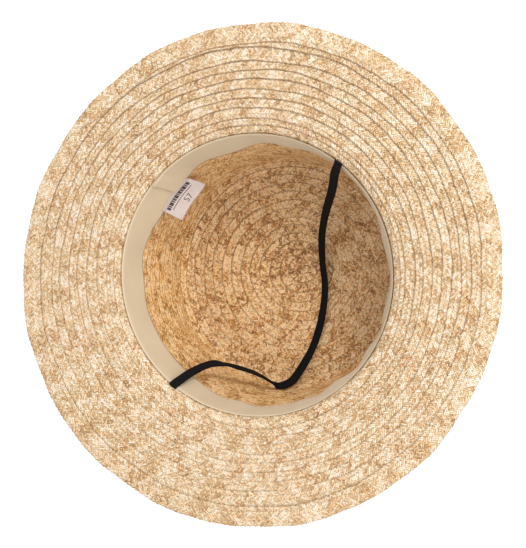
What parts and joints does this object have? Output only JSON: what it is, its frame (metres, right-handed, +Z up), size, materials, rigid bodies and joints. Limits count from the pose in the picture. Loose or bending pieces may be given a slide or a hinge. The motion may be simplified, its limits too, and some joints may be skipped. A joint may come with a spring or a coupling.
{
  "type": "straw boater hat",
  "caption": "Straw boater hat of sewn braid, lying crown down, with a wide flat brim, cloth sweatband, size tag and a black chin elastic.",
  "frame": {"origin": "on the outer face of the crown's tip, under the middle of the crown, on the surface that the hat lies on", "axes": "+Z up, out of the crown's mouth; +Y towards the back of the hat, where the size tag is; +X towards one end of the chin elastic"},
  "size_m": [0.318, 0.311, 0.0993],
  "materials": {
    "straw": "sewn straw braid, cream and tan, slight gloss",
    "band_cloth": "matt woven cloth",
    "tag_tape": "matt printed tape",
    "black_elastic": "matt flat woven elastic"
  },
  "bodies": {
    "root": {"crown": "straw", "brim": "straw", "sweatband": "band_cloth", "size_tag": "tag_tape", "chin_elastic": "black_elastic"}
  },
  "joints": []
}
